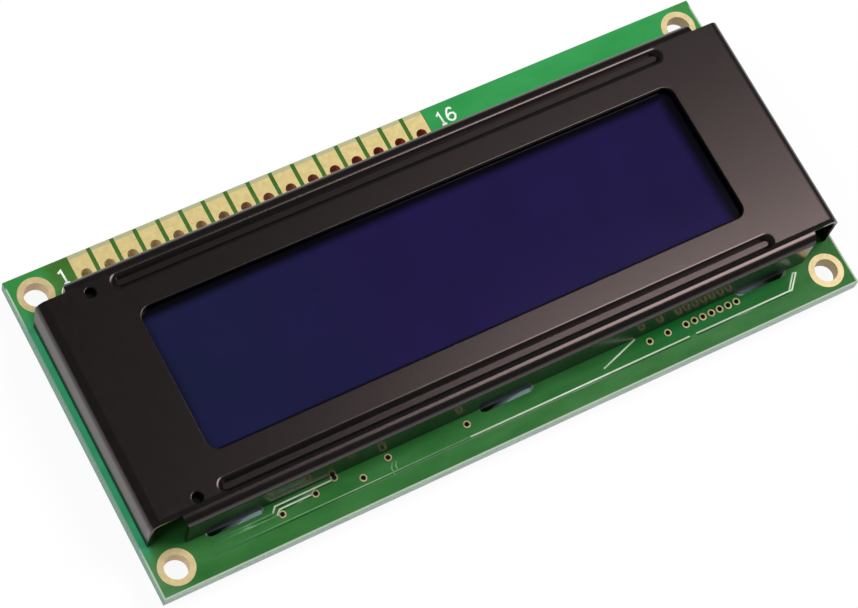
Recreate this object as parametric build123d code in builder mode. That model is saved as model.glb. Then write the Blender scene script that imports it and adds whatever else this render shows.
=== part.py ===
from build123d import *
from math import atan2, cos, degrees, radians, tan
import os

# A character LCD module: a glass-epoxy board, a stack of backlight, glasses and films on its front,
# and a black pressed steel bezel that clamps the stack with six tabs twisted behind the board.
# Millimetres. The origin is the centre of the four mounting holes, on the board's front face.
# +X runs along the board from pad 1 to pad 16, +Y points to the edge with the pads, +Z faces the reader.

# Board
board_length = 80.0
board_width = 36.0
board_thickness = 1.6
plating = 0.05  # height of a plated pad or ring above the board

# Mounting holes
hole_inset = 2.5  # from their centres to the board's ends and edges
hole_bore = 2.5
ring_diameter = 3.8

# Row of edge pads
pad_count = 16
pad_pitch = 2.54
first_pad_from_end = 8.0
pad_width = 2.1
pad_length = 3.5
pad_hole = 1.15
pad_hole_from_edge = 2.5

# Plated vias in the strip below the bezel. The single ones are given as places along the board from
# the nearest outer tab and up from the lower edge.
via_bore = 0.5
via_ring = 0.8
via_row_from_tab = 9.6
via_row_pitch = 1.02
via_row_count = 7
via_row_from_edge = 3.45
right_vias = [(-11.8, 3.45), (-14.0, 3.40)]
left_vias = [(4.5, 2.90), (8.4, 3.40), (10.8, 4.10), (13.4, 2.85), (16.6, 3.70), (25.4, 3.45)]

# Backlight
backlight_height = 2.0
reflector_thickness = 0.1
diffuser_thickness = 0.25
tray_wall = 1.0
tray_end_gap = 0.6  # between the tray and the bezel's end walls
part_gap = 0.1  # running room around a piece that lies in a pocket
lamp_bay = 3.2
lamp_board_thickness = 0.5
lamp_count = 3
lamp_size = (1.0, 2.8, 0.9)
pin_diameter = 0.6
pin_spacing = 5.08
pin_stand_out = 0.9  # beyond the back of the board

# Display glass
polariser_thickness = 0.2
glass_thickness = 1.1
cell_thickness = 0.05
glass_end_gap = 0.6  # between the glasses and the ends of the bezel's long walls
glass_side_gap = 0.7  # between the front glass and the bezel's long walls
contact_ledge = 2.6
polariser_margin = 0.4
lip_gap = 0.35  # from the front polariser to the underside of the bezel's face

# Rubber connector strips and their contacts
strip_width = 1.8
strip_overrun = 0.5  # beyond each end of a bead
finger_pitch = 1.95
finger_width = 1.0
finger_overhang = 0.1

# Bezel
sheet = 0.4
fold_radius = 1.1  # outer radius of the folds along all four sides
wall_to_edge = 4.3  # from the long walls to the board's edges
wall_to_end = 0.8
corner_opening_x = 3.6  # the corners are cut out, clear of the mounting holes
corner_opening_y = 1.15
corner_slant = 0.35  # the long folds are cut back across the bend
foot_gap = 0.1  # the walls stand clear of the board between the tabs
window_border = 4.5  # glass hidden at each end of the window
window_from_bead = 3.5
window_corner = 1.2
lip_round = 0.12
bead_overrun = 1.0  # beyond each end of the window
bead_width = 1.5
bead_floor = 0.6
bead_round = 0.4  # outer radius at the rims
bead_from_wall = 2.15
pilot_hole = 1.1
pilot_hole_inset = 1.8
tab_width = 5.8
tab_tip_width = 5.2
tab_inset = 5.2
tab_straight = 0.3  # below the board's front face, where the twist begins
tab_stand_out = 1.3  # beyond the back of the board
tab_twist = 20.0  # degrees, at the tip
slot_length = 6.4
slot_gap = 0.5  # on each side of a tab, for the twist

# Chips and small parts on the back
cap_diameter = 13.0
cap_flat = 6.5
cap_height = 1.5
cap_spacing = 30.0
die_length = 3.4
die_width = 3.0
die_thickness = 0.4
chip_length = 2.0
chip_width = 1.25
resistor_height = 0.5
capacitor_height = 0.85
end_cap = 0.35
solder_reach = 0.45
solder_climb = 0.8  # share of a chip's height that the solder climbs
resistor_count = 7
resistor_pitch = 3.2
resistor_from_wall = 4.525
capacitor_from_tab = 5.9
pin_solder_diameter = 1.9
pin_solder_tip = 0.96
pin_solder_height = 0.7

# Heights through the stack, measured up from the board's front face
board_back = -board_thickness
guide_top = backlight_height - diffuser_thickness
rear_glass_z = backlight_height + polariser_thickness
cell_z = rear_glass_z + glass_thickness
front_glass_z = cell_z + cell_thickness
front_glass_top = front_glass_z + glass_thickness
polariser_top = front_glass_top + polariser_thickness
face_underside = polariser_top + lip_gap
face = face_underside + sheet

# Widths and places that follow from the sizes above
half_board = board_width / 2
hole_spacing_x = board_length - 2 * hole_inset
hole_spacing_y = board_width - 2 * hole_inset
bezel_width = board_width - 2 * wall_to_edge
bezel_end_length = board_length - 2 * wall_to_end
bezel_length = bezel_end_length - 2 * corner_opening_x
bezel_end_width = bezel_width - 2 * corner_opening_y
glass_length = bezel_length - 2 * glass_end_gap
window_length = glass_length - 2 * window_border
bead_length = window_length + 2 * bead_overrun
bead_spacing = bezel_width - 2 * bead_from_wall
window_width = bead_spacing - 2 * window_from_bead
pilot_hole_offset = bezel_length / 2 - pilot_hole_inset
tab_pitch = bezel_length / 2 - tab_inset
inner_wall_y = bezel_width / 2 - sheet
strip_y = bead_spacing / 2
strip_length = bead_length + 2 * strip_overrun
finger_count = int((strip_length - finger_width) / finger_pitch)
front_glass_width = 2 * (inner_wall_y - glass_side_gap)
rear_glass_width = front_glass_width - 2 * contact_ledge
tray_length = bezel_end_length - 2 * (sheet + tray_end_gap)
tray_width = rear_glass_width
lamp_bay_x = tray_length / 2 - tray_wall - lamp_bay
guide_length = lamp_bay_x + tray_length / 2 - tray_wall - part_gap
guide_width = tray_width - 2 * (tray_wall + part_gap)
guide_x = lamp_bay_x - guide_length / 2
pin_x = tray_length / 2 - tray_wall - part_gap - pin_diameter
pad_row_x = -board_length / 2 + first_pad_from_end + (pad_count - 1) * pad_pitch / 2
slot_width = sheet + 2 * slot_gap
slot_y = inner_wall_y + sheet / 2
tab_tip = board_back - tab_stand_out
via_row_start = tab_pitch - via_row_from_tab
lamp_pitch = guide_width / lamp_count
resistor_row_y = bezel_width / 2 - resistor_from_wall
capacitor_row_y = -resistor_row_y
capacitor_offset = tab_pitch - capacitor_from_tab
wall_height = face - foot_gap
bead_depth = face_underside - front_glass_top
bead_slope = degrees(atan2((bead_width - bead_floor) / 2, bead_depth))
bead_back_width = bead_width + 2 * sheet * (1 / cos(radians(bead_slope)) - tan(radians(bead_slope)))
pin_solder_slope = degrees(atan2((pin_solder_diameter - pin_solder_tip) / 2, pin_solder_height))


def via_places():
    """Centres of all the plated vias on the board's front face."""
    row = [(via_row_start + i * via_row_pitch, via_row_from_edge) for i in range(via_row_count)]
    row += [(tab_pitch + along, up) for along, up in right_vias]
    row += [(-tab_pitch + along, up) for along, up in left_vias]
    return [(x, up - half_board) for x, up in row]


pin_places = [(pin_x, pin_spacing / 2), (pin_x, -pin_spacing / 2)]
slot_places = [(x, y) for x in (-tab_pitch, 0, tab_pitch) for y in (-slot_y, slot_y)]


# Circuit board with its drilled holes and the slots for the bezel's tabs
with BuildPart() as pcb_board:
    with BuildSketch(Plane.XY.offset(board_back)):
        Rectangle(board_length, board_width)
        with GridLocations(hole_spacing_x, hole_spacing_y, 2, 2):
            Circle(hole_bore / 2 + plating, mode=Mode.SUBTRACT)
        with Locations((pad_row_x, half_board - pad_hole_from_edge)):
            with GridLocations(pad_pitch, 0, pad_count, 1):
                Circle(pad_hole / 2 + plating, mode=Mode.SUBTRACT)
        with Locations(*via_places()):
            Circle(via_ring / 2, mode=Mode.SUBTRACT)
        with Locations(*pin_places):
            Circle(pin_diameter / 2, mode=Mode.SUBTRACT)
        with Locations(*slot_places):
            SlotOverall(slot_length, slot_width, mode=Mode.SUBTRACT)
    extrude(amount=board_thickness)

# Plated barrels of the mounting holes, with a ring on each face
with BuildPart() as mounting_hole_rings:
    for ring_plane in (Plane.XY, Plane.XY.offset(board_back - plating)):
        with BuildSketch(ring_plane):
            with GridLocations(hole_spacing_x, hole_spacing_y, 2, 2):
                Circle(ring_diameter / 2)
        extrude(amount=plating)
    with BuildSketch(Plane.XY.offset(board_back)):
        with GridLocations(hole_spacing_x, hole_spacing_y, 2, 2):
            Circle(hole_bore / 2 + plating)
    extrude(amount=board_thickness)
    with GridLocations(hole_spacing_x, hole_spacing_y, 2, 2):
        Hole(hole_bore / 2)

# Sixteen edge pads: a gold land on each face and the plated hole that joins them
with BuildPart() as header_pads:
    for pad_plane in (Plane.XY, Plane.XY.offset(board_back - plating)):
        with BuildSketch(pad_plane):
            with Locations((pad_row_x, half_board - pad_length / 2)):
                with GridLocations(pad_pitch, 0, pad_count, 1):
                    Rectangle(pad_width, pad_length)
        extrude(amount=plating)
    with BuildSketch(Plane.XY.offset(board_back)):
        with Locations((pad_row_x, half_board - pad_hole_from_edge)):
            with GridLocations(pad_pitch, 0, pad_count, 1):
                Circle(pad_hole / 2 + plating)
    extrude(amount=board_thickness)
    with Locations((pad_row_x, half_board - pad_hole_from_edge)):
        with GridLocations(pad_pitch, 0, pad_count, 1):
            Hole(pad_hole / 2)

# Small plated holes that join the copper of the two faces
with BuildPart() as plated_vias:
    with BuildSketch(Plane.XY.offset(board_back - plating)):
        with Locations(*via_places()):
            Circle(via_ring / 2)
            Circle(via_bore / 2, mode=Mode.SUBTRACT)
    extrude(amount=board_thickness + 2 * plating)

# Gold contacts on the board under the two rubber strips
with BuildPart() as contact_fingers_upper:
    with BuildSketch(Plane.XY):
        with Locations((0, strip_y)):
            with GridLocations(finger_pitch, 0, finger_count, 1):
                Rectangle(finger_width, strip_width + 2 * finger_overhang)
    extrude(amount=plating)

with BuildPart() as contact_fingers_lower:
    with BuildSketch(Plane.XY):
        with Locations((0, -strip_y)):
            with GridLocations(finger_pitch, 0, finger_count, 1):
                Rectangle(finger_width, strip_width + 2 * finger_overhang)
    extrude(amount=plating)

# Rubber connector strips, from the contacts up to the underside of the front glass
with BuildPart() as connector_strip_upper:
    with BuildSketch(Plane.XY.offset(plating)):
        with Locations((0, strip_y)):
            Rectangle(strip_length, strip_width)
    extrude(amount=front_glass_z - plating)

with BuildPart() as connector_strip_lower:
    with BuildSketch(Plane.XY.offset(plating)):
        with Locations((0, -strip_y)):
            Rectangle(strip_length, strip_width)
    extrude(amount=front_glass_z - plating)

# White tray of the backlight, open above and below, with a bay for the lamps at its right end
with BuildPart() as backlight_frame:
    with BuildSketch(Plane.XY):
        RectangleRounded(tray_length, tray_width, tray_wall / 2)
        Rectangle(tray_length - 2 * tray_wall, tray_width - 2 * tray_wall, mode=Mode.SUBTRACT)
    extrude(amount=backlight_height)

# White foil on the board under the light guide
with BuildPart() as reflector_film:
    with BuildSketch(Plane.XY):
        with Locations((guide_x, 0)):
            Rectangle(guide_length, guide_width)
    extrude(amount=reflector_thickness)

# Clear guide that carries the lamps' light along the display, with a dimple in front of each lamp
with BuildPart() as light_guide:
    with BuildSketch(Plane.XY.offset(reflector_thickness)):
        with Locations((guide_x, 0)):
            Rectangle(guide_length, guide_width)
        with Locations((lamp_bay_x, 0)):
            with GridLocations(0, lamp_pitch, 1, lamp_count):
                Circle(lamp_size[1] / 4, mode=Mode.SUBTRACT)
    extrude(amount=guide_top - reflector_thickness)

# Diffuser on the light guide, flush with the top of the tray
with BuildPart() as diffuser_film:
    with BuildSketch(Plane.XY.offset(guide_top)):
        with Locations((guide_x, 0)):
            Rectangle(guide_length, guide_width)
    extrude(amount=diffuser_thickness)

# Small board in the lamp bay
with BuildPart() as backlight_lamp_board:
    with BuildSketch(Plane.XY):
        with Locations((lamp_bay_x + lamp_bay / 2, 0)):
            Rectangle(lamp_bay - 2 * part_gap, guide_width)
        with Locations(*pin_places):
            Circle(pin_diameter / 2, mode=Mode.SUBTRACT)
    extrude(amount=lamp_board_thickness)

# Side-looking lamps on the lamp board, facing the end of the light guide
with BuildPart() as backlight_lamps:
    with BuildSketch(Plane.XY.offset(lamp_board_thickness)):
        with Locations((lamp_bay_x + part_gap + lamp_size[0] / 2, 0)):
            with GridLocations(0, lamp_pitch, 1, lamp_count):
                Rectangle(lamp_size[0], lamp_size[1])
    extrude(amount=lamp_size[2])
    chamfer(backlight_lamps.edges().filter_by(Axis.Z).group_by(Axis.X)[-1], length=lamp_size[0] / 4)

# Two pins that feed the lamps, from the lamp board through the main board
with BuildPart() as backlight_pins:
    with BuildSketch(Plane.XY.offset(board_back - pin_stand_out)):
        with Locations(*pin_places):
            Circle(pin_diameter / 2)
    extrude(amount=pin_stand_out + board_thickness + lamp_board_thickness + pin_diameter / 2)

# Display cell: two glasses with the liquid crystal and its seal between them, and a film on each side
with BuildPart() as rear_polariser:
    with BuildSketch(Plane.XY.offset(backlight_height)):
        Rectangle(glass_length - 2 * polariser_margin, rear_glass_width - 2 * polariser_margin)
    extrude(amount=polariser_thickness)

with BuildPart() as rear_glass:
    with BuildSketch(Plane.XY.offset(rear_glass_z)):
        Rectangle(glass_length, rear_glass_width)
    extrude(amount=glass_thickness)

with BuildPart() as liquid_crystal_seal:
    with BuildSketch(Plane.XY.offset(cell_z)):
        Rectangle(glass_length - 2 * polariser_margin, rear_glass_width - 2 * polariser_margin)
    extrude(amount=cell_thickness)

with BuildPart() as front_glass:
    with BuildSketch(Plane.XY.offset(front_glass_z)):
        Rectangle(glass_length, front_glass_width)
    extrude(amount=glass_thickness)

with BuildPart() as front_polariser:
    with BuildSketch(Plane.XY.offset(front_glass_top)):
        Rectangle(glass_length - 2 * polariser_margin, rear_glass_width - 2 * polariser_margin)
    extrude(amount=polariser_thickness)

# Bezel: one steel sheet, pressed and folded. Two crossing channels make its face and walls and leave
# the corners open, so that screw heads clear it.
with BuildPart() as bezel:
    with BuildSketch(Plane.YZ.offset(-bezel_length / 2 - corner_slant)):
        with Locations((0, foot_gap)):
            outer = Rectangle(bezel_width, wall_height, align=(Align.CENTER, Align.MIN))
            fillet(outer.vertices().group_by(Axis.Y)[-1], fold_radius)
    extrude(amount=bezel_length + 2 * corner_slant)
    with BuildSketch(Plane.XZ.offset(-bezel_end_width / 2)):
        with Locations((0, foot_gap)):
            outer = Rectangle(bezel_end_length, wall_height, align=(Align.CENTER, Align.MIN))
            fillet(outer.vertices().group_by(Axis.Y)[-1], fold_radius)
    extrude(amount=bezel_end_width)
    with BuildSketch(Plane.YZ.offset(-bezel_length / 2 - corner_slant)):
        with Locations((0, foot_gap)):
            hollow = Rectangle(2 * inner_wall_y, wall_height - sheet, align=(Align.CENTER, Align.MIN))
            fillet(hollow.vertices().group_by(Axis.Y)[-1], fold_radius - sheet)
    extrude(amount=bezel_length + 2 * corner_slant, mode=Mode.SUBTRACT)
    with BuildSketch(Plane.XZ.offset(-bezel_end_width / 2)):
        with Locations((0, foot_gap)):
            hollow = Rectangle(
                bezel_end_length - 2 * sheet, wall_height - sheet, align=(Align.CENTER, Align.MIN)
            )
            fillet(hollow.vertices().group_by(Axis.Y)[-1], fold_radius - sheet)
    extrude(amount=bezel_end_width, mode=Mode.SUBTRACT)

    # The ends of the long folds, slanted across the bend and square below it
    for cut_y in (bezel_width / 2, -bezel_end_width / 2):
        with BuildSketch(Plane.XZ.offset(-cut_y)):
            with BuildLine():
                Polyline(
                    (bezel_length / 2, foot_gap),
                    (bezel_length / 2, face - fold_radius),
                    (bezel_length / 2 + corner_slant, face),
                    (bezel_length / 2 + corner_slant, foot_gap),
                    close=True,
                )
            make_face()
            mirror(about=Plane.YZ)
        extrude(amount=corner_opening_y, mode=Mode.SUBTRACT)

    # Window and the two pilot holes at the left end
    with BuildSketch(Plane.XY.offset(face)):
        RectangleRounded(window_length, window_width, window_corner)
        with Locations((-pilot_hole_offset, bead_spacing / 2), (-pilot_hole_offset, -bead_spacing / 2)):
            Circle(pilot_hole / 2)
    extrude(amount=-2 * sheet, mode=Mode.SUBTRACT)
    punched_edges = bezel.faces().sort_by(Axis.Z)[-1].inner_wires().edges()
    fillet(punched_edges, lip_round)

    # Beads, pressed down until they rest on the front glass above the rubber strips
    with BuildSketch(Plane.XY.offset(face_underside)):
        with GridLocations(0, bead_spacing, 1, 2):
            SlotOverall(bead_length - bead_width + bead_back_width, bead_back_width)
    extrude(amount=-bead_depth, taper=bead_slope)
    with BuildSketch(Plane.XY.offset(face)):
        with GridLocations(0, bead_spacing, 1, 2):
            SlotOverall(bead_length, bead_width)
    extrude(amount=-bead_depth, taper=bead_slope, mode=Mode.SUBTRACT)
    bead_rims = bezel.faces().sort_by(Axis.Z)[-1].inner_wires().sort_by(SortBy.LENGTH)[-3:-1]
    fillet(bead_rims.edges(), bead_round)

    # Tabs, through the board's slots and twisted behind it so that they can't be drawn out
    for tab_x, turn in ((-tab_pitch, tab_twist), (0, tab_twist), (tab_pitch, -tab_twist)):
        for side in (-1, 1):
            with BuildSketch(Plane.XY.offset(foot_gap)):
                with Locations((tab_x, side * slot_y)):
                    Rectangle(tab_width, sheet)
            extrude(amount=-foot_gap - tab_straight)
            with BuildSketch(Plane.XY.offset(-tab_straight)):
                with Locations((tab_x, side * slot_y)):
                    Rectangle(tab_width, sheet)
            with BuildSketch(Plane.XY.offset(tab_tip)):
                with Locations((tab_x, side * slot_y)):
                    Rectangle(tab_tip_width, sheet, rotation=-side * turn)
            loft(ruled=True)


def epoxy_cap(cap_x):
    """Black epoxy cap over a bare chip: a low dome that levels out in the middle."""
    with BuildPart() as cap:
        with BuildSketch(Plane(origin=(cap_x, 0, board_back), x_dir=(1, 0, 0), z_dir=(0, -1, 0))):
            with BuildLine():
                Polyline((cap_flat / 2, -cap_height), (0, -cap_height), (0, 0), (cap_diameter / 2, 0))
                EllipticalCenterArc(
                    (cap_flat / 2, 0),
                    (cap_diameter - cap_flat) / 2,
                    cap_height,
                    start_angle=270,
                    arc_size=90,
                )
            make_face()
        revolve(axis=Axis((cap_x, 0, board_back), (0, 0, 1)))
        with BuildSketch(Plane.XY.offset(board_back)):
            with Locations((cap_x, 0)):
                Rectangle(die_length, die_width)
        extrude(amount=-die_thickness, mode=Mode.SUBTRACT)
    return cap


def bare_die(die_x):
    """Silicon chip that lies on the back of the board."""
    with BuildPart() as die:
        with BuildSketch(Plane.XY.offset(board_back)):
            with Locations((die_x, 0)):
                Rectangle(die_length, die_width)
        extrude(amount=-die_thickness)
    return die


controller_cap = epoxy_cap(-cap_spacing / 2)
driver_cap = epoxy_cap(cap_spacing / 2)
controller_die = bare_die(-cap_spacing / 2)
driver_die = bare_die(cap_spacing / 2)

resistor_places = [
    ((i - (resistor_count - 1) / 2) * resistor_pitch, resistor_row_y) for i in range(resistor_count)
]
capacitor_places = [(-capacitor_offset, capacitor_row_y), (capacitor_offset, capacitor_row_y)]
end_offset = (chip_length - end_cap) / 2

# Bodies of the chip resistors and the chip capacitors
with BuildPart() as chip_resistors:
    with BuildSketch(Plane.XY.offset(board_back)):
        with Locations(*resistor_places):
            Rectangle(chip_length - 2 * end_cap, chip_width)
    extrude(amount=-resistor_height)

with BuildPart() as chip_capacitors:
    with BuildSketch(Plane.XY.offset(board_back)):
        with Locations(*capacitor_places):
            Rectangle(chip_length - 2 * end_cap, chip_width)
    extrude(amount=-capacitor_height)

# Their tinned ends
with BuildPart() as chip_end_caps:
    for places, height in ((resistor_places, resistor_height), (capacitor_places, capacitor_height)):
        with BuildSketch(Plane.XY.offset(board_back)):
            with Locations(*places):
                with GridLocations(2 * end_offset, 0, 2, 1):
                    Rectangle(end_cap, chip_width)
        extrude(amount=-height)

# Solder wedges from the board up the tinned ends
with BuildPart() as solder_joints:
    for places, height in ((resistor_places, resistor_height), (capacitor_places, capacitor_height)):
        for chip_x, chip_y in places:
            with BuildSketch(Plane.XZ.offset(-chip_y - chip_width / 2)):
                for side in (-1, 1):
                    end_x = chip_x + side * chip_length / 2
                    with BuildLine():
                        Polyline(
                            (end_x, board_back),
                            (end_x + side * solder_reach, board_back),
                            (end_x, board_back - solder_climb * height),
                            close=True,
                        )
                    make_face()
            extrude(amount=chip_width)

# Solder cones round the lamp pins
with BuildPart() as backlight_solder:
    with BuildSketch(Plane.XY.offset(board_back)):
        with Locations(*pin_places):
            Circle(pin_solder_diameter / 2)
    extrude(amount=-pin_solder_height, taper=pin_solder_slope)
    with BuildSketch(Plane.XY.offset(board_back)):
        with Locations(*pin_places):
            Circle(pin_diameter / 2)
    extrude(amount=-pin_solder_height, mode=Mode.SUBTRACT)

pieces = {
    "pcb_board": pcb_board,
    "mounting_hole_rings": mounting_hole_rings,
    "header_pads": header_pads,
    "plated_vias": plated_vias,
    "contact_fingers_upper": contact_fingers_upper,
    "contact_fingers_lower": contact_fingers_lower,
    "connector_strip_upper": connector_strip_upper,
    "connector_strip_lower": connector_strip_lower,
    "backlight_frame": backlight_frame,
    "reflector_film": reflector_film,
    "light_guide": light_guide,
    "diffuser_film": diffuser_film,
    "backlight_lamp_board": backlight_lamp_board,
    "backlight_lamps": backlight_lamps,
    "backlight_pins": backlight_pins,
    "backlight_solder": backlight_solder,
    "rear_polariser": rear_polariser,
    "rear_glass": rear_glass,
    "liquid_crystal_seal": liquid_crystal_seal,
    "front_glass": front_glass,
    "front_polariser": front_polariser,
    "bezel": bezel,
    "controller_die": controller_die,
    "driver_die": driver_die,
    "controller_cap": controller_cap,
    "driver_cap": driver_cap,
    "chip_resistors": chip_resistors,
    "chip_capacitors": chip_capacitors,
    "chip_end_caps": chip_end_caps,
    "solder_joints": solder_joints,
}

os.makedirs("parts", exist_ok=True)
for name, piece in pieces.items():
    piece.part.label = name
    export_step(piece.part, f"parts/{name}.step")
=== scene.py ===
import math

import bmesh
import bpy
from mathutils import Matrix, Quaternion, Vector


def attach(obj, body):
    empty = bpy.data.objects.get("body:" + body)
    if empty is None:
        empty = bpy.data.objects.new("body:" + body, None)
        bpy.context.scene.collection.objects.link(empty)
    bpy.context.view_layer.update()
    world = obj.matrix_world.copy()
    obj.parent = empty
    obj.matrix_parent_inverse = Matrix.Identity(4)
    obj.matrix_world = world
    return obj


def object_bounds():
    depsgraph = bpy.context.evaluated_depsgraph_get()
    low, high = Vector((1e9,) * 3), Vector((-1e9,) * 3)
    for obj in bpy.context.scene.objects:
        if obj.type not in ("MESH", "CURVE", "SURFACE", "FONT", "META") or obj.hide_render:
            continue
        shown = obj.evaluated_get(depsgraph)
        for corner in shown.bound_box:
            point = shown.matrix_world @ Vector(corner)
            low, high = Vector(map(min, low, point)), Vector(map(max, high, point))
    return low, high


# Looks of a character LCD module on a white floor. Everything is in metres, in the frame of the CAD part: the
# origin is the centre of the four mounting holes on the board's front face, +X runs from pad 1 to pad 16, +Y
# towards the pads and +Z out of the display. Places on the module are named in millimetres and multiplied by
# MM. A name that ends in _X or _Y holds the two places along that axis between which a surface changes, or
# their distances from the centre where both sides are alike.

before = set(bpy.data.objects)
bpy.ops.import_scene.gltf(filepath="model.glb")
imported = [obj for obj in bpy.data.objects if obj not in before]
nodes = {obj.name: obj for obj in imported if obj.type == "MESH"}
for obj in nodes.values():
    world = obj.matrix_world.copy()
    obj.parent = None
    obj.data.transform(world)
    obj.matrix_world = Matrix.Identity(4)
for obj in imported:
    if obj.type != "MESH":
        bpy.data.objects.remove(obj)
cad_low, cad_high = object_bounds()
scene = bpy.context.scene
MM = 0.001
WHITE = (1.0, 1.0, 1.0)
ORIGIN = (0.0, 0.0, 0.0)


def add(name, data):
    """Puts a camera, a mesh or a light into the scene."""
    made = bpy.data.objects.new(name, data)
    scene.collection.objects.link(made)
    return made


def aim(made, target, roll=0.0):
    """Turns a camera or a light towards the target. The roll is in degrees."""
    way = Vector(target) - made.location
    made.rotation_mode = "QUATERNION"
    made.rotation_quaternion = way.to_track_quat("-Z", "Y") @ Quaternion((0, 0, 1), math.radians(roll))


# Camera
CAMERA_PLACE = (-0.09516, -0.08338, 0.26428)
CAMERA_TARGET = (-0.00316, -0.00234, 0.0025)
CAMERA_ROLL = 22.13
CAMERA_LENS = 121.9
CAMERA_SENSOR = 36.0
CAMERA_REACH = (0.01, 20.0)


def make_camera():
    data = bpy.data.cameras.new("camera")
    data.lens = CAMERA_LENS
    data.sensor_width = CAMERA_SENSOR
    data.clip_start, data.clip_end = CAMERA_REACH
    camera = add("camera", data)
    camera.location = CAMERA_PLACE
    aim(camera, CAMERA_TARGET, CAMERA_ROLL)
    return camera


scene.camera = make_camera()


# Shader nodes
class Tree:
    """Fills a tree with nodes. A value is a number, a colour or the socket of another node."""

    def __init__(self, tree, coordinates="Object"):
        self.tree = tree
        self.tree.nodes.clear()
        self.place = self.node("ShaderNodeTexCoord").outputs[coordinates]
        self.split = None

    def node(self, kind, **settings):
        made = self.tree.nodes.new(kind)
        for key, value in settings.items():
            setattr(made, key, value)
        return made

    def link(self, a, b):
        self.tree.links.new(a, b)

    def put(self, socket, value):
        if isinstance(value, bpy.types.NodeSocket):
            self.link(value, socket)
        elif isinstance(value, tuple):
            socket.default_value = (*value, 1.0)
        else:
            socket.default_value = value

    def fitted(self, kind, **values):
        """A node with these values in its sockets, whose names are written in small letters here."""
        made = self.node(kind)
        for name, value in values.items():
            self.put(made.inputs[name.capitalize()], value)
        return made

    def parts(self, vector):
        made = self.node("ShaderNodeSeparateXYZ")
        self.link(vector, made.inputs[0])
        return made.outputs

    def axis(self, name):
        if self.split is None:
            self.split = self.parts(self.place)
        return self.split[name]

    def off_centre(self, name):
        return self.math("ABSOLUTE", self.axis(name))

    def math(self, operation, a, b=None):
        made = self.node("ShaderNodeMath", operation=operation)
        self.put(made.inputs[0], a)
        if b is not None:
            self.put(made.inputs[1], b)
        return made.outputs[0]

    def plus(self, a, b):
        return self.math("ADD", a, b)

    def minus(self, a, b):
        return self.math("SUBTRACT", a, b)

    def times(self, a, b):
        return self.math("MULTIPLY", a, b)

    def larger(self, a, b):
        return self.math("MAXIMUM", a, b)

    def rest(self, share):
        return self.minus(1.0, share)

    def rise(self, value, low, high):
        """0 below low, 1 above high, smooth between."""
        made = self.node("ShaderNodeMapRange", interpolation_type="SMOOTHSTEP")
        self.put(made.inputs["Value"], value)
        made.inputs["From Min"].default_value = low
        made.inputs["From Max"].default_value = high
        return made.outputs["Result"]

    def rise_over(self, value, ends):
        """The same between two ends in millimetres."""
        return self.rise(value, ends[0] * MM, ends[1] * MM)

    def fall_over(self, value, ends):
        """1 below the first end, 0 above the second."""
        return self.rest(self.rise_over(value, ends))

    def blend(self, share, a, b):
        """Shader a, with this share of shader b."""
        made = self.node("ShaderNodeMixShader")
        self.put(made.inputs[0], share)
        self.link(a.outputs[0], made.inputs[1])
        self.link(b.outputs[0], made.inputs[2])
        return made

    def show(self, shader, output="ShaderNodeOutputMaterial"):
        self.link(shader.outputs[0], self.node(output).inputs["Surface"])


class Surface(Tree):
    """The tree of a material on the module."""

    SOCKETS = {
        "colour": "Base Color",
        "metallic": "Metallic",
        "rough": "Roughness",
        "specular": "Specular IOR Level",
        "tint": "Specular Tint",
        "transmission": "Transmission Weight",
    }

    def __init__(self, name):
        self.material = bpy.data.materials.new(name)
        self.material.use_nodes = True
        super().__init__(self.material.node_tree)
        self.shader = self.node("ShaderNodeBsdfPrincipled")
        self.show(self.shader)

    def flat(self, low, high):
        """1 on faces that lie flat, 0 on walls. The ends are upright parts of the face's normal."""
        normal = self.node("ShaderNodeNewGeometry").outputs["True Normal"]
        return self.rise(self.math("ABSOLUTE", self.parts(normal)["Z"]), low, high)

    def noise(self, scale, detail, roughness, stretch=None):
        place = self.place
        if stretch:
            mapping = self.node("ShaderNodeMapping")
            self.link(place, mapping.inputs["Vector"])
            mapping.inputs["Scale"].default_value = stretch
            place = mapping.outputs[0]
        made = self.fitted(
            "ShaderNodeTexNoise", vector=place, scale=scale, detail=detail, roughness=roughness
        )
        return made.outputs["Fac"]

    def tones(self, value, dark, light, spread=0.2):
        """Goes from dark to light while the value goes from spread under a half to spread over it."""
        made = self.node("ShaderNodeValToRGB")
        self.put(made.inputs[0], value)
        stops = ((0.5 - spread, dark), (0.5 + spread, light))
        for element, (position, colour) in zip(made.color_ramp.elements, stops):
            element.position = position
            element.color = (*colour, 1.0)
        return made.outputs[0]

    def mix(self, share, a, b):
        """Colour a, with this share of colour b."""
        made = self.node("ShaderNodeMix", data_type="RGBA")
        self.put(made.inputs["Factor"], share)
        self.put(made.inputs["A"], a)
        self.put(made.inputs["B"], b)
        return made.outputs["Result"]

    def bump(self, height, strength, distance, over=None):
        """The last bump is the one that the shader takes, with the bump that it lies over."""
        made = self.fitted("ShaderNodeBump", height=height, strength=strength, distance=distance)
        if over is not None:
            self.link(over, made.inputs["Normal"])
        self.link(made.outputs[0], self.shader.inputs["Normal"])
        return made.outputs[0]

    def set(self, **values):
        for key, value in values.items():
            self.put(self.shader.inputs[self.SOCKETS[key]], value)
        return self.material


def give(material, *names):
    for name in names:
        mesh = nodes[name].data
        mesh.materials.clear()
        mesh.materials.append(material)


# Board: green solder mask over copper and laminate, with raw laminate on the sawn sides
PAD_STRIP_Y = (12.0, 12.6)
AFTER_LAST_PAD_X = (7.10, 7.35)
RIGHT_CORNER_X = (37.6, 38.4)
LEFT_CORNER_X = (-36.4, -34.8)
POUR_IN_CORNERS = 0.6
LONG_TRACE_Y = (-15.90, -15.75)
FRONT_WALL_Y = (-12.8, -12.4)
TRACE_TURN_X = (32.6, 34.2)
DARKER_X = (-34.0, 6.0)
DARKER_SHARE = 0.35
DARKEST_X = (10.0, 17.0)
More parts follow.
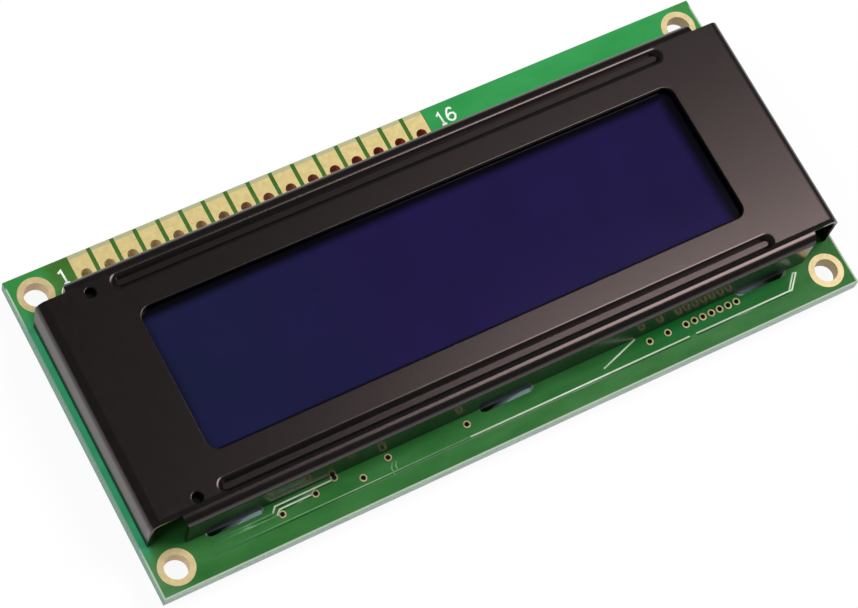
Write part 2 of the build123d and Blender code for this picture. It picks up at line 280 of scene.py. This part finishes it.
# the front left corner is paler up to a slanting line, x plus this share of y
PALE_CORNER_SLANT = 0.6
PALE_CORNER = (-49.5, -45.5)
BESIDE_WALL_X = (-39.4, -38.7)
BESIDE_WALL_Y = (11.0, 15.0)
SPECKLE_SHARE = 0.20
SPECKLE_COLOUR = (0.02, 0.17, 0.045)
# painted highlight: a pale line along the edge of the top face, between these distances from the sawn edges
EDGE_HIGHLIGHT_INSET = (0.20, 0.14)
EDGE_HIGHLIGHT_END_Y = (17.0, 17.5)
EDGE_HIGHLIGHT_SHARE = 0.80
EDGE_HIGHLIGHT_COLOUR = (0.52, 0.60, 0.47)
GLASS_LAYER_SHARE = 0.22
GLASS_LAYER_COLOUR = (0.34, 0.42, 0.36)
# the left side's own colour ends between these distances from the left edge
LEFT_SIDE = (0.01, 0.05)
LEFT_SIDE_COLOUR = (0.27, 0.42, 0.33)


def mask_colour(t, cloud, fine):
    """The greens of the mask, over bright copper and over faint copper, with painted shade beside the bezel's
    front wall and painted light beside its left wall.
    """
    x, y = t.axis("X"), t.axis("Y")
    pour = t.tones(cloud, (0.031, 0.298, 0.070), (0.048, 0.350, 0.097))
    field = t.tones(cloud, (0.044, 0.138, 0.018), (0.070, 0.184, 0.035))
    lower = t.tones(cloud, (0.024, 0.125, 0.024), (0.048, 0.172, 0.046))
    # painted shade beside the bezel's front wall
    wall_shade = t.tones(cloud, (0.001, 0.094, 0.008), (0.005, 0.122, 0.020))
    # painted light beside the bezel's left wall
    left = t.tones(cloud, (0.060, 0.500, 0.230), (0.085, 0.580, 0.280))
    pale = t.tones(cloud, (0.062, 0.190, 0.060), (0.100, 0.240, 0.090))
    # along the upper edge, the bright copper lies between the last pad and the right-hand hole, and shows
    # less in the corners
    right_loss = t.times(t.rise_over(x, RIGHT_CORNER_X), 1.0 - POUR_IN_CORNERS)
    poured = t.minus(t.rise_over(x, AFTER_LAST_PAD_X), right_loss)
    poured = t.plus(poured, t.times(t.fall_over(x, LEFT_CORNER_X), POUR_IN_CORNERS))
    face = t.mix(t.rise_over(y, PAD_STRIP_Y), lower, t.mix(poured, field, pour))
    # painted shade: the strip in front of the bezel is darker above its long trace, next to the bezel's front
    # wall and most of all on the right, for the wall's shadow and its dark reflection in the mask
    above = t.times(t.rise_over(y, LONG_TRACE_Y), t.fall_over(y, FRONT_WALL_Y))
    above = t.times(above, t.fall_over(x, TRACE_TURN_X))
    darker = t.times(t.rise_over(x, DARKER_X), DARKER_SHARE)
    darker = t.plus(darker, t.times(t.rise_over(x, DARKEST_X), 1.0 - DARKER_SHARE))
    face = t.mix(t.times(above, darker), face, wall_shade)
    # it is paler in the front left corner; beside the bezel's left wall it is brighter and bluer, which is
    # painted light
    corner = t.plus(x, t.times(y, PALE_CORNER_SLANT))
    face = t.mix(t.fall_over(corner, PALE_CORNER), face, pale)
    beside = t.times(t.fall_over(x, BESIDE_WALL_X), t.fall_over(t.off_centre("Y"), BESIDE_WALL_Y))
    face = t.mix(beside, face, left)
    return t.mix(t.times(fine, SPECKLE_SHARE), face, SPECKLE_COLOUR)


def edge_highlight(t):
    """A painted highlight along the edge of the top face, just short of the sawn edges, apart from the edge
    with the pads.
    """
    across = t.rise(t.off_centre("Y"), cad_high.y - EDGE_HIGHLIGHT_INSET[0] * MM, cad_high.y - EDGE_HIGHLIGHT_INSET[1] * MM)
    along = t.rise(t.off_centre("X"), cad_high.x - EDGE_HIGHLIGHT_INSET[0] * MM, cad_high.x - EDGE_HIGHLIGHT_INSET[1] * MM)
    rim = t.times(t.larger(across, along), t.fall_over(t.axis("Y"), EDGE_HIGHLIGHT_END_Y))
    return t.times(rim, EDGE_HIGHLIGHT_SHARE)


def laminate_colour(t):
    """Woven glass in thin layers, greener on the left side."""
    weave = t.noise(2600.0, detail=2.0, roughness=0.6, stretch=(0.12, 0.12, 1.0))
    layers = t.fitted("ShaderNodeTexWave", vector=t.place, scale=900.0, distortion=2.5, detail=2.0)
    layers.wave_type = "BANDS"
    layers.bands_direction = "Z"
    raw = t.tones(weave, (0.52, 0.64, 0.56), (0.70, 0.82, 0.74))
    raw = t.mix(t.times(layers.outputs["Fac"], GLASS_LAYER_SHARE), raw, GLASS_LAYER_COLOUR)
    inside = t.rise(t.axis("X"), cad_low.x + LEFT_SIDE[0] * MM, cad_low.x + LEFT_SIDE[1] * MM)
    return t.mix(t.rest(inside), raw, LEFT_SIDE_COLOUR)


def board_material():
    t = Surface("board_green_mask")
    cloud = t.noise(420.0, detail=3.0, roughness=0.55, stretch=(0.35, 1.0, 1.0))
    fine = t.noise(5200.0, detail=2.0, roughness=0.5)
    # the greens, with the painted highlight along the edge of the top face
    face = t.mix(edge_highlight(t), mask_colour(t, cloud, fine), EDGE_HIGHLIGHT_COLOUR)
    flat = t.flat(0.45, 0.55)
    t.bump(t.plus(cloud, t.times(fine, 0.15)), strength=0.20, distance=0.04 * MM)
    return t.set(
        colour=t.mix(flat, laminate_colour(t), face),
        rough=t.minus(0.62, t.times(flat, 0.38)),
        specular=0.045,
    )


# Gold: thin and worn over copper. The walls of the holes carry painted light and shade: in the rings and pads
# they are lighter on the left and darker to the right, and in the vias near black
PAD_END_Y = (17.50, 17.62)
PAD_END_SHARE = 0.78
PAD_END_COLOUR = (0.40, 0.43, 0.25)
WALL_WEAR_SHARE = 0.35
WALL_WEAR_COLOUR = (0.02, 0.015, 0.01)


def gold_material(name, light, dark, rough, wall_left, wall_right, wall_x, end_band=False):
    t = Surface(name)
    wear = t.noise(1500.0, detail=4.0, roughness=0.6)
    grain = t.noise(9000.0, detail=2.0, roughness=0.5)
    colour = t.tones(wear, dark, light, spread=0.18)
    if end_band:
        band = t.rise_over(t.axis("Y"), PAD_END_Y)
        colour = t.mix(t.times(band, PAD_END_SHARE), colour, PAD_END_COLOUR)
    # painted light and shade on the walls of the holes, from left to right
    wall = t.mix(t.rise_over(t.axis("X"), wall_x), wall_left, wall_right)
    wall = t.mix(t.times(wear, WALL_WEAR_SHARE), wall, WALL_WEAR_COLOUR)
    t.bump(t.plus(wear, t.times(grain, 0.3)), strength=0.30, distance=0.03 * MM)
    return t.set(
        colour=t.mix(t.flat(0.35, 0.60), wall, colour),
        metallic=0.30,
        rough=t.plus(rough, t.times(grain, 0.12)),
        specular=0.5,
    )


def ring_gold():
    return gold_material(
        "gold_rings", light=(0.68, 0.55, 0.285), dark=(0.59, 0.46, 0.225), rough=0.42,
        wall_left=(0.86, 0.62, 0.36), wall_right=(0.58, 0.43, 0.22), wall_x=(-30.0, 30.0),
    )


def via_gold():
    return gold_material(
        "gold_vias", light=(0.46, 0.38, 0.19), dark=(0.28, 0.22, 0.11), rough=0.42,
        wall_left=(0.02, 0.014, 0.008), wall_right=(0.02, 0.014, 0.008), wall_x=(-30.0, 30.0),
    )


def pad_gold():
    return gold_material(
        "gold_pads", light=(0.755, 0.61, 0.262), dark=(0.645, 0.505, 0.216), rough=0.46,
        wall_left=(0.90, 0.72, 0.42), wall_right=(0.50, 0.07, 0.04), wall_x=(-30.0, 2.0), end_band=True,
    )


# Bezel: satin black paint on the pressed steel
FRONT_RIM_FROM = -12.10
FRONT_RIM_TO = -12.62
FRONT_RIM_DEPTH = 0.085
END_FOLD_X = (38.7, 39.1)
END_WALL_TOP = 4.5
END_WALL_LEAN = 0.15


def leaning_walls(t):
    """Shades the walls that lean a little in the photograph and stand straight in the CAD part."""
    # the front rim, between its bead and its fold
    rim = t.node("ShaderNodeMapRange")
    t.link(t.axis("Y"), rim.inputs["Value"])
    rim.inputs["From Min"].default_value = FRONT_RIM_FROM * MM
    rim.inputs["From Max"].default_value = FRONT_RIM_TO * MM
    rim_lean = t.bump(rim.outputs["Result"], strength=1.0, distance=FRONT_RIM_DEPTH * MM)
    # the end walls, outwards by a few degrees
    drop = t.larger(t.minus(END_WALL_TOP * MM, t.axis("Z")), 0.0)
    drop = t.times(drop, t.rise_over(t.off_centre("X"), END_FOLD_X))
    return t.bump(t.times(drop, END_WALL_LEAN), strength=1.0, distance=1.0, over=rim_lean)


def bezel_material():
    t = Surface("bezel_black_paint")
    peel = t.noise(1400.0, detail=3.0, roughness=0.55)
    fine = t.noise(7000.0, detail=2.0, roughness=0.5)
    lean = leaning_walls(t)
    t.bump(t.plus(peel, t.times(fine, 0.25)), strength=0.07, distance=0.03 * MM, over=lean)
    return t.set(
        colour=t.tones(peel, (0.0036, 0.0034, 0.0036), (0.0064, 0.0056, 0.0058)),
        rough=t.plus(0.20, t.times(fine, 0.03)),
        specular=0.60,
        tint=(1.0, 0.76, 0.75),
    )


# Polariser film: deep indigo, bluer on the left, with painted shade of the bezel's lip inside the window's
# right, back and front edges
BLUER_X = (-30.0, 0.0)
LIP_SHADE_RIGHT_X = (28.1, 29.8)
LIP_SHADE_BACK_Y = (6.5, 7.6)
LIP_SHADE_FRONT_Y = (-7.85, -7.60)
LIP_SHADE_SHARE = 0.95
LIP_SHADE_COLOUR = (0.0006, 0.0005, 0.0008)


def film_material():
    t = Surface("polariser_film")
    x, y = t.axis("X"), t.axis("Y")
    tone = t.noise(160.0, detail=3.0, roughness=0.6)
    fine = t.noise(4000.0, detail=2.0, roughness=0.5)
    left = t.tones(tone, (0.0095, 0.0110, 0.0420), (0.0115, 0.0120, 0.0500), spread=0.15)
    right = t.tones(tone, (0.0120, 0.0078, 0.0500), (0.0145, 0.0085, 0.0590), spread=0.15)
    indigo = t.mix(t.rise_over(x, BLUER_X), left, right)
    # painted shade: nearly black along the window's right, back and front edges, where the bezel's lip shades
    # the display
    lip_shade = t.larger(t.rise_over(x, LIP_SHADE_RIGHT_X), t.rise_over(y, LIP_SHADE_BACK_Y))
    lip_shade = t.larger(lip_shade, t.fall_over(y, LIP_SHADE_FRONT_Y))
    t.bump(fine, strength=0.04, distance=0.01 * MM)
    return t.set(
        colour=t.mix(t.times(lip_shade, LIP_SHADE_SHARE), indigo, LIP_SHADE_COLOUR),
        rough=t.plus(0.07, t.times(fine, 0.04)),
        specular=0.16,
    )


# Front glass: clear, and near black and opaque on its flat faces outside the polariser
DARK_MARGIN_X = (33.0, 33.1)
DARK_MARGIN_Y = (9.8, 9.9)
DARK_MARGIN_COLOUR = (0.004, 0.004, 0.005)


def front_glass_material():
    t = Surface("front_glass_bordered")
    tone = t.noise(900.0, detail=4.0, roughness=0.6)
    clear = t.tones(tone, (0.46, 0.58, 0.55), (0.60, 0.72, 0.68))
    dark_margin = t.larger(t.rise_over(t.off_centre("X"), DARK_MARGIN_X), t.rise_over(t.off_centre("Y"), DARK_MARGIN_Y))
    dark_margin = t.times(dark_margin, t.flat(0.5, 0.6))
    t.bump(tone, strength=0.10, distance=0.02 * MM)
    return t.set(
        colour=t.mix(dark_margin, clear, DARK_MARGIN_COLOUR),
        rough=t.plus(0.10, t.times(tone, 0.08)),
        specular=0.35,
        transmission=t.times(t.rest(dark_margin), 0.6),
    )


def plain_material(name, light, dark, rough, scale=900.0, metallic=0.0, bump=0.2, transmission=0.0):
    """A surface with a slow change of tone, fine grain in its gloss and a faint bump."""
    t = Surface(name)
    tone = t.noise(scale, detail=4.0, roughness=0.6)
    grain = t.noise(scale * 8, detail=2.0, roughness=0.5)
    t.bump(t.plus(tone, t.times(grain, 0.3)), strength=bump, distance=0.03 * MM)
    return t.set(
        colour=t.tones(tone, dark, light),
        rough=t.plus(rough, t.times(grain, 0.12)),
        metallic=metallic,
        specular=0.5,
        transmission=transmission,
    )


give(board_material(), "pcb_board")
give(ring_gold(), "mounting_hole_rings", "contact_fingers_upper", "contact_fingers_lower")
give(via_gold(), "plated_vias")
give(pad_gold(), "header_pads")
give(bezel_material(), "bezel")
give(film_material(), "front_polariser", "rear_polariser")
give(front_glass_material(), "front_glass")

# Plain materials: name, light tone, dark tone, roughness, other values and the pieces that have them
PLAIN = [
    ("float_glass", (0.60, 0.72, 0.68), (0.46, 0.58, 0.55), 0.12, {"transmission": 0.6}, ["rear_glass"]),
    ("cell_seal", (0.06, 0.06, 0.11), (0.04, 0.04, 0.08), 0.35, {}, ["liquid_crystal_seal"]),
    ("tray_white", (0.78, 0.78, 0.75), (0.70, 0.70, 0.67), 0.45, {}, ["backlight_frame"]),
    ("film_white", (0.80, 0.80, 0.80), (0.74, 0.74, 0.74), 0.55, {}, ["reflector_film", "diffuser_film"]),
    ("clear_guide", (0.80, 0.84, 0.84), (0.72, 0.76, 0.76), 0.15, {"transmission": 0.5}, ["light_guide"]),
    ("lamp_body", (0.80, 0.78, 0.55), (0.74, 0.70, 0.46), 0.40, {}, ["backlight_lamps"]),
    ("bare_laminate", (0.56, 0.54, 0.36), (0.46, 0.44, 0.28), 0.45, {}, ["backlight_lamp_board"]),
    (
        "strip_rubber", (0.20, 0.22, 0.25), (0.13, 0.14, 0.17), 0.60, {"scale": 2500.0},
        ["connector_strip_upper", "connector_strip_lower"],
    ),
    (
        "tin_solder", (0.72, 0.72, 0.73), (0.58, 0.58, 0.60), 0.26,
        {"scale": 2200.0, "metallic": 0.9, "bump": 0.4},
        ["backlight_pins", "backlight_solder", "chip_end_caps", "solder_joints"],
    ),
    (
        "cap_epoxy", (0.020, 0.020, 0.021), (0.010, 0.010, 0.011), 0.24, {"scale": 300.0, "bump": 0.5},
        ["controller_cap", "driver_cap"],
    ),
    ("die_silicon", (0.26, 0.27, 0.31), (0.20, 0.21, 0.25), 0.25, {}, ["controller_die", "driver_die"]),
    (
        "resistor_glaze", (0.026, 0.026, 0.030), (0.014, 0.014, 0.017), 0.30, {"scale": 2000.0},
        ["chip_resistors"],
    ),
    (
        "capacitor_ceramic", (0.40, 0.29, 0.19), (0.32, 0.22, 0.14), 0.42, {"scale": 2000.0},
        ["chip_capacitors"],
    ),
]
for name, light, dark, rough, others, pieces in PLAIN:
    give(plain_material(name, light, dark, rough, **others), *pieces)

# Strips: a low rounded ridge along each path on the board's front, for traces and print
STRIP_PROFILE = [(-0.5, 0.0), (-0.36, 0.72), (-0.14, 1.0), (0.14, 1.0), (0.36, 0.72), (0.5, 0.0)]
SHARPEST_TURN = 0.5


def strip_rows(build, path, width, height):
    """One row of points across the strip at each point of its path, which is in millimetres."""
    points = [Vector((x * MM, y * MM)) for x, y in path]
    ways = [(b - a).normalized() for a, b in zip(points, points[1:])]
    rows = []
    for point, before, after in zip(points, ways[:1] + ways, ways + ways[-1:]):
        along = (before + after).normalized()
        side = Vector((-along.y, along.x))
        reach = width * MM / max(before.dot(along), SHARPEST_TURN)
        row = []
        for across, up in STRIP_PROFILE:
            place = (point.x + side.x * across * reach, point.y + side.y * across * reach, height * up * MM)
            row.append(build.verts.new(place))
        rows.append(row)
    return rows


def strip_mesh(name, material, paths, width, height):
    build = bmesh.new()
    for path in paths:
        rows = strip_rows(build, path, width, height)
        for a, b in zip(rows, rows[1:]):
            for i in range(len(STRIP_PROFILE) - 1):
                build.faces.new((a[i], b[i], b[i + 1], a[i + 1]))
        build.faces.new(rows[0])
        build.faces.new(rows[-1][::-1])
    bmesh.ops.recalc_face_normals(build, faces=build.faces)
    mesh = bpy.data.meshes.new(name)
    build.to_mesh(mesh)
    build.free()
    mesh.materials.append(material)
    for face in mesh.polygons:
        face.use_smooth = True
    made = add(name, mesh)
    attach(made, "root")


# Traces under the mask, in the strip in front of the bezel: pale lines of painted highlight on their lit
# edges, and dark lines of painted shadow beside them
FADE_X = (-34.0, -24.0)
FADE_COLOUR = (0.045, 0.20, 0.055)
BRIGHT_TRACES = [
    [(34.08, -14.26), (34.38, -14.38), (33.02, -15.86), (21.30, -15.84)],
    [(34.08, -14.26), (32.72, -15.78)],
    [(20.50, -15.84), (6.0, -15.86), (-5.3, -15.86)],
    [(10.6, -15.2), (15.1, -13.75)],
    [(-20.0, -14.02), (-26.2, -14.06), (-26.7, -14.62)],
    [(-22.3, -14.50), (-25.9, -14.52), (-26.4, -15.0)],
]
FAINT_TRACES = [
    [(-13.6, -14.9), (-14.0, -15.4), (-14.0, -16.2)],
    [(-13.2, -14.9), (-13.5, -15.4), (-13.5, -15.8)],
    [(-5.3, -15.86), (-20.0, -15.88), (-33.6, -15.88)],
    [(-26.7, -14.62), (-33.4, -14.66)],
    [(-26.4, -15.0), (-33.7, -15.02)],
]
TRACE_SHADOWS = [
    [(32.6, -16.02), (21.30, -16.02)],
    [(20.50, -16.02), (6.0, -16.04), (-5.3, -16.04), (-20.0, -16.08), (-33.6, -16.08)],
    [(-20.0, -14.22), (-26.0, -14.24)],
    [(-22.4, -14.68), (-25.8, -14.70)],
    [(-26.9, -14.84), (-33.4, -14.86)],
]


def line_material(name, light, dark, rough):
    """A painted line along a trace under the mask, pale where it paints a highlight and dark where it paints
    a shadow, which sinks into the board's green towards the left.
    """
    t = Surface(name)
    tone = t.noise(1200.0, detail=4.0, roughness=0.6)
    t.bump(tone, strength=0.2, distance=0.03 * MM)
    colour = t.mix(t.rise_over(t.axis("X"), FADE_X), FADE_COLOUR, t.tones(tone, dark, light))
    return t.set(colour=colour, rough=rough)


# pale for the painted highlights of the traces, dark for their painted shadows
trace_highlight = plain_material("trace_highlight", (0.66, 0.78, 0.58), (0.46, 0.60, 0.38), 0.24, scale=1200.0)
faint_trace_highlight = line_material("faint_trace_highlight", (0.15, 0.33, 0.13), (0.09, 0.25, 0.08), 0.30)
trace_shadow = line_material("trace_shadow", (0.010, 0.080, 0.020), (0.006, 0.060, 0.014), 0.34)
strip_mesh("board_traces", trace_highlight, BRIGHT_TRACES, width=0.18, height=0.030)
strip_mesh("board_traces_faint", faint_trace_highlight, FAINT_TRACES, width=0.14, height=0.020)
strip_mesh("board_trace_shadows", trace_shadow, TRACE_SHADOWS, width=0.16, height=0.008)

# Printed figures at the two ends of the pad row, and a pale strip of painted highlight by the bezel's back
# left corner
FIGURE_1 = [[(-34.60, 16.66), (-34.22, 16.86), (-34.14, 15.45)], [(-34.46, 15.42), (-33.84, 15.38)]]
# painted highlight: a pale strip on the board for the light along the edge of the bezel's back left corner
CORNER_HIGHLIGHT = [[(-34.62, 15.20), (-34.92, 14.90), (-35.12, 14.50)]]
FIGURE_16 = [
    [(8.46, 16.68), (8.80, 16.98), (8.90, 15.60)],
    [(8.60, 15.58), (9.16, 15.58)],
    [
        (10.36, 16.90), (10.12, 17.10), (9.86, 17.06), (9.61, 16.62), (9.50, 16.20), (9.54, 15.92),
        (9.74, 15.71), (10.00, 15.64), (10.26, 15.78), (10.42, 16.12), (10.32, 16.40), (10.00, 16.49),
        (9.68, 16.34), (9.52, 16.08),
    ],
]
ink = plain_material("printed_ink", (0.94, 0.96, 0.90), (0.84, 0.88, 0.80), 0.50, scale=3000.0)
strip_mesh("printed_1", ink, FIGURE_1, width=0.22, height=0.02)
strip_mesh("corner_highlight_strip", ink, CORNER_HIGHLIGHT, width=0.13, height=0.015)
strip_mesh("printed_16", ink, FIGURE_16, width=0.21, height=0.02)

# Floor: plain white in view and in mirrors, faintly shaded round the module, and under it shaded, in a
# blue-grey of painted shade with a painted glow under the front edge
FLOOR_HALF = 2.0
FLOOR_GAP = 0.01
FLOOR_SHADE = 0.08
FLOOR_BOUNCE = (0.80, 0.80, 0.81)
UNDER_SHADE_AND_GLOW_COLOUR = (0.55, 0.66, 0.78)
UNDER_LEFT_X = (-34.4, -33.6)
UNDER_RIGHT_X = (35.9, 36.7)
UNDER_FRONT_Y = (-16.8, -16.0)
UNDER_BACK_Y = (16.9, 17.7)
GLOW_Y = (-13.0, -12.4)
GLOW_STRENGTH = 0.20
INNER_Y = (11.4, 12.0)


def floor_material():
    material = bpy.data.materials.new("floor_white")
    material.use_nodes = True
    t = Tree(material.node_tree)
    x, y = t.axis("X"), t.axis("Y")
    paths = t.node("ShaderNodeLightPath").outputs
    seen = t.larger(paths["Is Camera Ray"], paths["Is Glossy Ray"])
    seen = t.larger(seen, paths["Is Transmission Ray"])
    under = t.times(t.rise_over(x, UNDER_LEFT_X), t.fall_over(x, UNDER_RIGHT_X))
    under = t.times(under, t.times(t.rise_over(y, UNDER_FRONT_Y), t.fall_over(y, UNDER_BACK_Y)))
    white = t.fitted("ShaderNodeEmission", color=WHITE)
    around = t.blend(FLOOR_SHADE, white, t.fitted("ShaderNodeBsdfDiffuse", color=WHITE))
    # painted light: under the front edge the floor glows, so that it shows lit through the slots for the tabs
    glow_strength = t.times(t.fall_over(y, GLOW_Y), GLOW_STRENGTH)
    glow = t.fitted("ShaderNodeEmission", color=UNDER_SHADE_AND_GLOW_COLOUR, strength=glow_strength)
    shaded = t.node("ShaderNodeAddShader")
    t.link(t.fitted("ShaderNodeBsdfDiffuse", color=UNDER_SHADE_AND_GLOW_COLOUR).outputs[0], shaded.inputs[0])
    t.link(glow.outputs[0], shaded.inputs[1])
    bounce = t.fitted("ShaderNodeBsdfDiffuse", color=FLOOR_BOUNCE)
    solid = t.blend(seen, bounce, t.blend(under, around, shaded))
    # open from below, so that the module's back can be seen and lit
    facing_down = t.node("ShaderNodeNewGeometry").outputs["Backfacing"]
    inner = t.times(t.fall_over(t.off_centre("Y"), INNER_Y), t.rest(paths["Is Camera Ray"]))
    opening = t.times(under, t.larger(paths["Is Shadow Ray"], inner))
    opening = t.larger(facing_down, opening)
    t.show(t.blend(opening, solid, t.node("ShaderNodeBsdfTransparent")))
    material.cycles.emission_sampling = "NONE"
    return material


def floor_mesh():
    z = cad_low.z - FLOOR_GAP * MM
    corners = [(-1, -1), (1, -1), (1, 1), (-1, 1)]
    mesh = bpy.data.meshes.new("floor")
    mesh.from_pydata([(x * FLOOR_HALF, y * FLOOR_HALF, z) for x, y in corners], [], [(0, 1, 2, 3)])
    mesh.materials.append(floor_material())
    return mesh


floor = add("floor", floor_mesh())

# Lights: a large soft box above on the right, a weak fill from the left and a light below for the back
SOFT_BOX = {"place": (0.53, -0.039, 0.75), "size": (0.54, 0.43), "power": 7.1, "colour": (1.0, 0.99, 0.97)}
FILL = {"place": (-0.50, 0.06, 0.56), "size": (0.50, 0.50), "power": 3.3, "colour": (0.93, 0.97, 1.0)}
UNDER_LIGHT = {"place": (0.0, 0.0, -0.50), "size": (0.50, 0.50), "power": 1.3, "colour": WHITE}


def area_light(name, place, size, power, colour):
    """An area light that shines straight down."""
    data = bpy.data.lights.new(name, "AREA")
    data.shape = "RECTANGLE"
    data.size, data.size_y = size
    data.energy = power
    data.color = colour
    made = add(name, data)
    made.location = place
    return made


area_light("soft_box", **SOFT_BOX)
for name, values in (("fill", FILL), ("under_light", UNDER_LIGHT)):
    light = area_light(name, **values)
    aim(light, ORIGIN)
    light.visible_glossy = False

# Room: white behind the floor's far edge, also in mirrors close to the horizon, and dim higher up
ROOM_COLOUR = (0.96, 0.98, 1.0)
ROOM_LEVEL = 0.13
HORIZON_TOP = 0.06


def room():
    world = bpy.data.worlds.new("room")
    world.use_nodes = True
    t = Tree(world.node_tree, "Generated")
    paths = t.node("ShaderNodeLightPath").outputs
    mirrored = t.times(paths["Is Glossy Ray"], t.rest(t.rise(t.axis("Z"), 0.0, HORIZON_TOP)))
    shown = t.larger(paths["Is Camera Ray"], paths["Is Transmission Ray"])
    shown = t.larger(shown, mirrored)
    dim = t.fitted("ShaderNodeBackground", color=ROOM_COLOUR, strength=ROOM_LEVEL)
    white = t.fitted("ShaderNodeBackground", color=WHITE, strength=1.0)
    t.show(t.blend(shown, dim, white), "ShaderNodeOutputWorld")
    return world


scene.world = room()
scene.view_settings.view_transform = "Standard"
